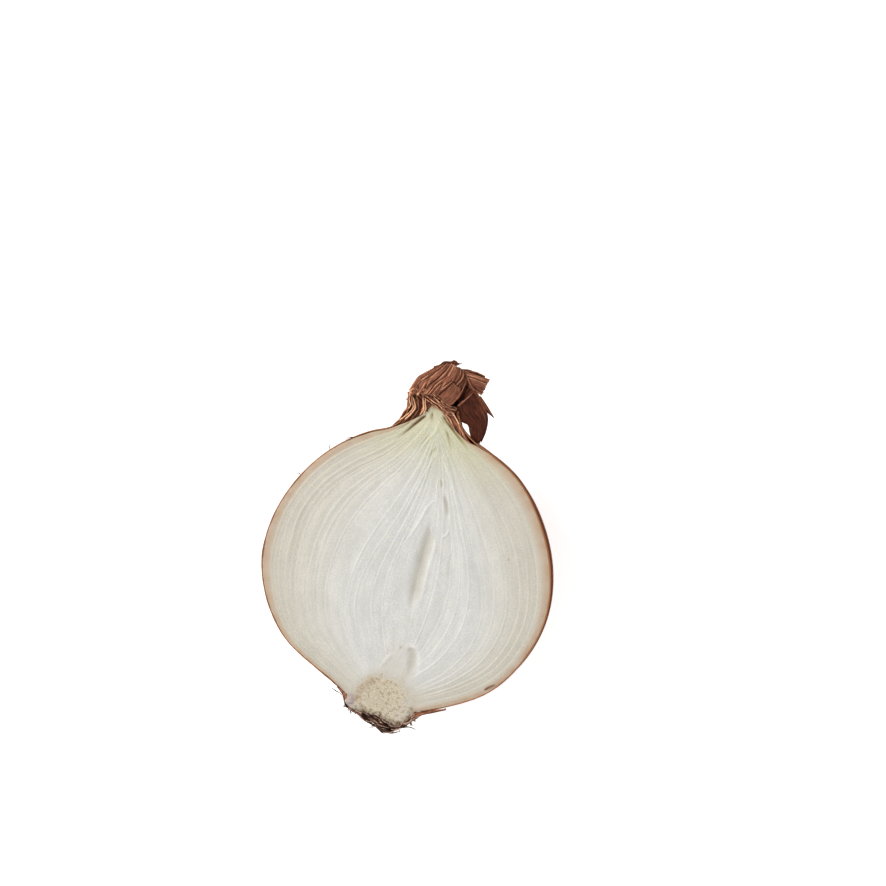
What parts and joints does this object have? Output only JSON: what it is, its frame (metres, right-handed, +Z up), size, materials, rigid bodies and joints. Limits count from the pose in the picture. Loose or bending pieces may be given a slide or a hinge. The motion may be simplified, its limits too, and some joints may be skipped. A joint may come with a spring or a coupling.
{
  "type": "halved onion",
  "caption": "Brown onion cut lengthwise, lying cut face up: grown-together scales on a root plate, dry skin, dried neck leaves and roots.",
  "frame": {"origin": "middle of the small flat spot under the round back, which the half rests on", "axes": "+Z up, out of the cut face; -Y towards the roots, +Y along the bulb's axis towards the neck; +X to the right of the cut face"},
  "size_m": [0.0805, 0.1056, 0.043],
  "materials": {
    "flesh": "moist, translucent onion flesh, greenish near the neck",
    "dry_skin": "thin papery copper-brown skin with fine fibres and a soft sheen",
    "neck_leaves": "dry, ribbed, torn leaf ends, matte",
    "root_crown": "dark corky root base with matted dry roots"
  },
  "bodies": {
    "root": {"flesh": "flesh", "dry_skin": "dry_skin", "neck_leaves": "neck_leaves", "root_crown": "root_crown"}
  },
  "joints": []
}
